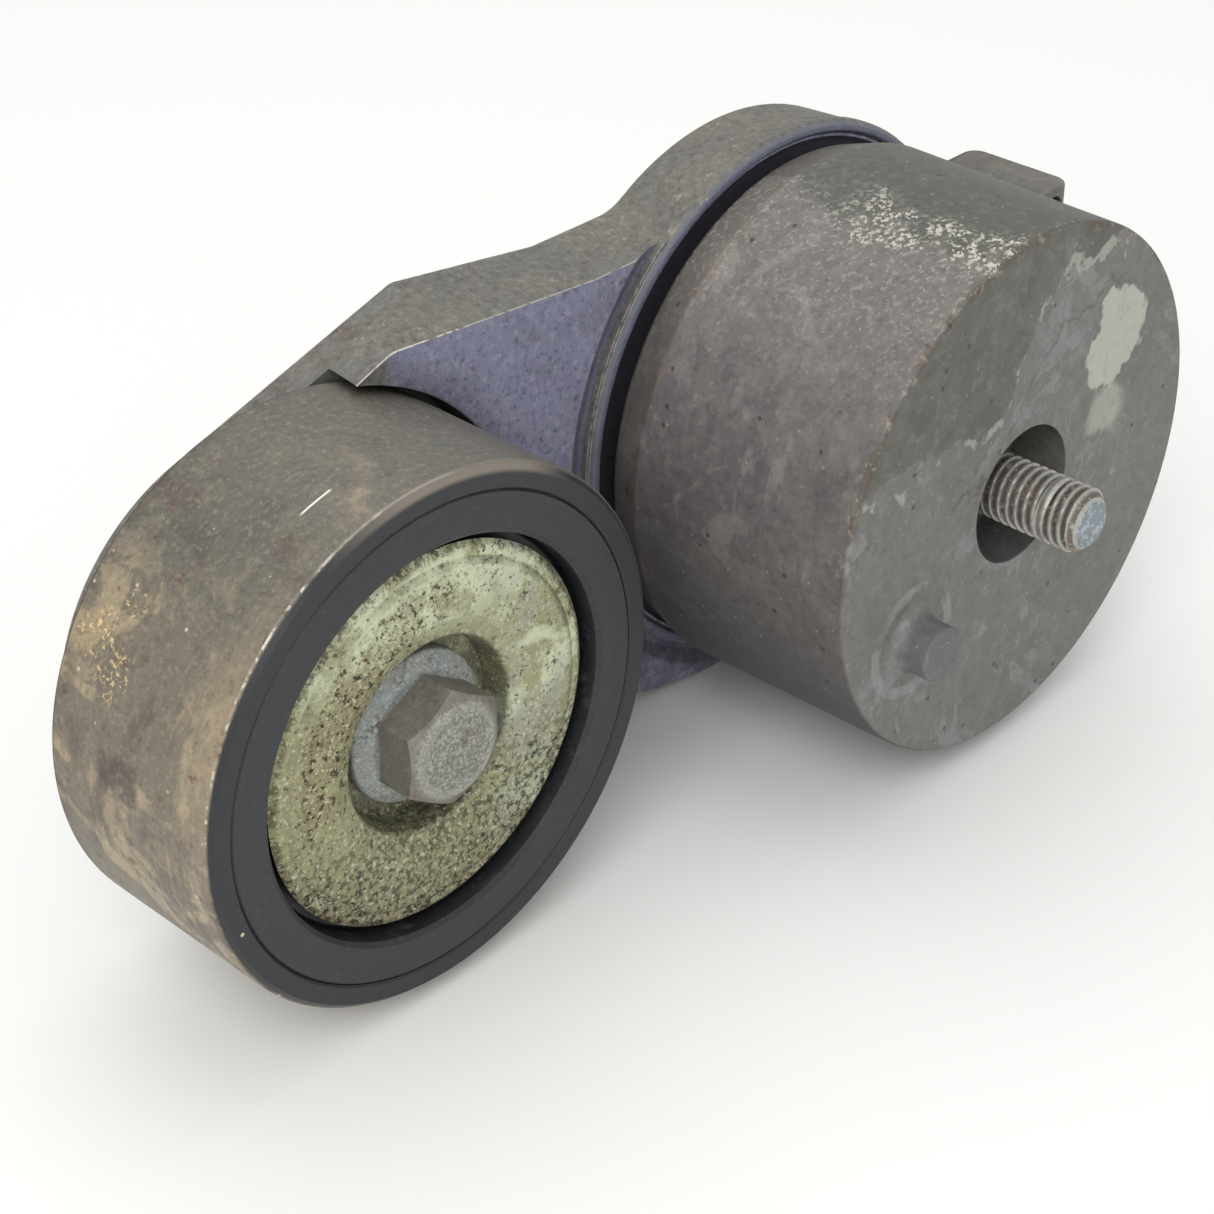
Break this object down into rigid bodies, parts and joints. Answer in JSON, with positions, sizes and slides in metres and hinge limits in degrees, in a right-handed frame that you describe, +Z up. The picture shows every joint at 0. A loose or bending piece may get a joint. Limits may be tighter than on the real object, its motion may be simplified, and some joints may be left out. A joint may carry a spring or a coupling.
{
  "type": "belt tensioner idler",
  "caption": "Sprung arm tensioner with a smooth idler pulley for a flat or ribbed drive belt, held by one bolt through its pivot and kept from turning by a peg.",
  "frame": {"origin": "centre of the case's mounting face, on the pivot axis and the mounting bolt's axis", "axes": "-Y out of the mounting face, towards the engine; +Y towards the arm; the pulley is on the -X side; +Z up"},
  "size_m": [0.1764, 0.0771, 0.0867],
  "materials": {
    "cast_case": "die cast, weathered",
    "cast_arm": "die cast, weathered",
    "bright_steel": "turned",
    "spring_steel": "oil blackened",
    "bushing_plastic": "moulded",
    "zinc_bolt": "zinc plated, weathered",
    "yellow_zinc": "yellow chromated zinc, speckled with rust",
    "bearing_steel": "ground",
    "worn_rim": "worn smooth by the belt",
    "black_insert": "satin black",
    "seal_rubber": "moulded"
  },
  "bodies": {
    "base": {"spring_case": "cast_case", "pivot_tube": "bright_steel", "end_plate": "bright_steel", "torsion_spring": "spring_steel"},
    "arm": {"tensioner_arm": "cast_arm", "pivot_bushing": "bushing_plastic", "thrust_washer": "bushing_plastic", "damper_spring": "spring_steel", "damper_band": "bushing_plastic", "pulley_bolt": "zinc_bolt", "dust_shield": "yellow_zinc", "bearing_spacer": "bright_steel", "bearing_inner_ring": "bearing_steel", "rear_dust_shield": "yellow_zinc"},
    "mounting_bolt": {"mounting_bolt": "zinc_bolt"},
    "pulley": {"pulley_rim": "worn_rim", "pulley_insert": "black_insert", "bearing_outer_ring": "bearing_steel", "front_seal": "seal_rubber", "rear_seal": "seal_rubber", "snap_ring": "spring_steel"},
    "ball_set": {"front_balls": "bearing_steel", "rear_balls": "bearing_steel", "front_cage": "bushing_plastic", "rear_cage": "bushing_plastic"}
  },
  "joints": [
    {"name": "arm_pivot", "type": "hinge", "parent": "base", "child": "arm", "pos_m": [0, 0, 0], "axis": [0, 1, 0], "range_deg": [0, 45], "stiffness_Nm_per_rad": 12, "springref_deg": -91.67, "deforming": ["torsion_spring"]},
    {"name": "pulley_spin", "type": "hinge", "parent": "arm", "child": "pulley", "pos_m": [-0.0948, 0.0387, -0.0037], "axis": [0, 1, 0], "continuous": true},
    {"name": "ball_set_spin", "type": "hinge", "parent": "arm", "child": "ball_set", "pos_m": [-0.0948, 0.0387, -0.0037], "axis": [0, 1, 0], "continuous": true},
    {"name": "mounting_bolt_spin", "type": "hinge", "parent": "base", "child": "mounting_bolt", "pos_m": [0, 0, 0], "axis": [0, 1, 0], "continuous": true}
  ],
  "couplings": [
    {"joint": "ball_set_spin", "follows": "pulley_spin", "ratio": 0.5978}
  ]
}
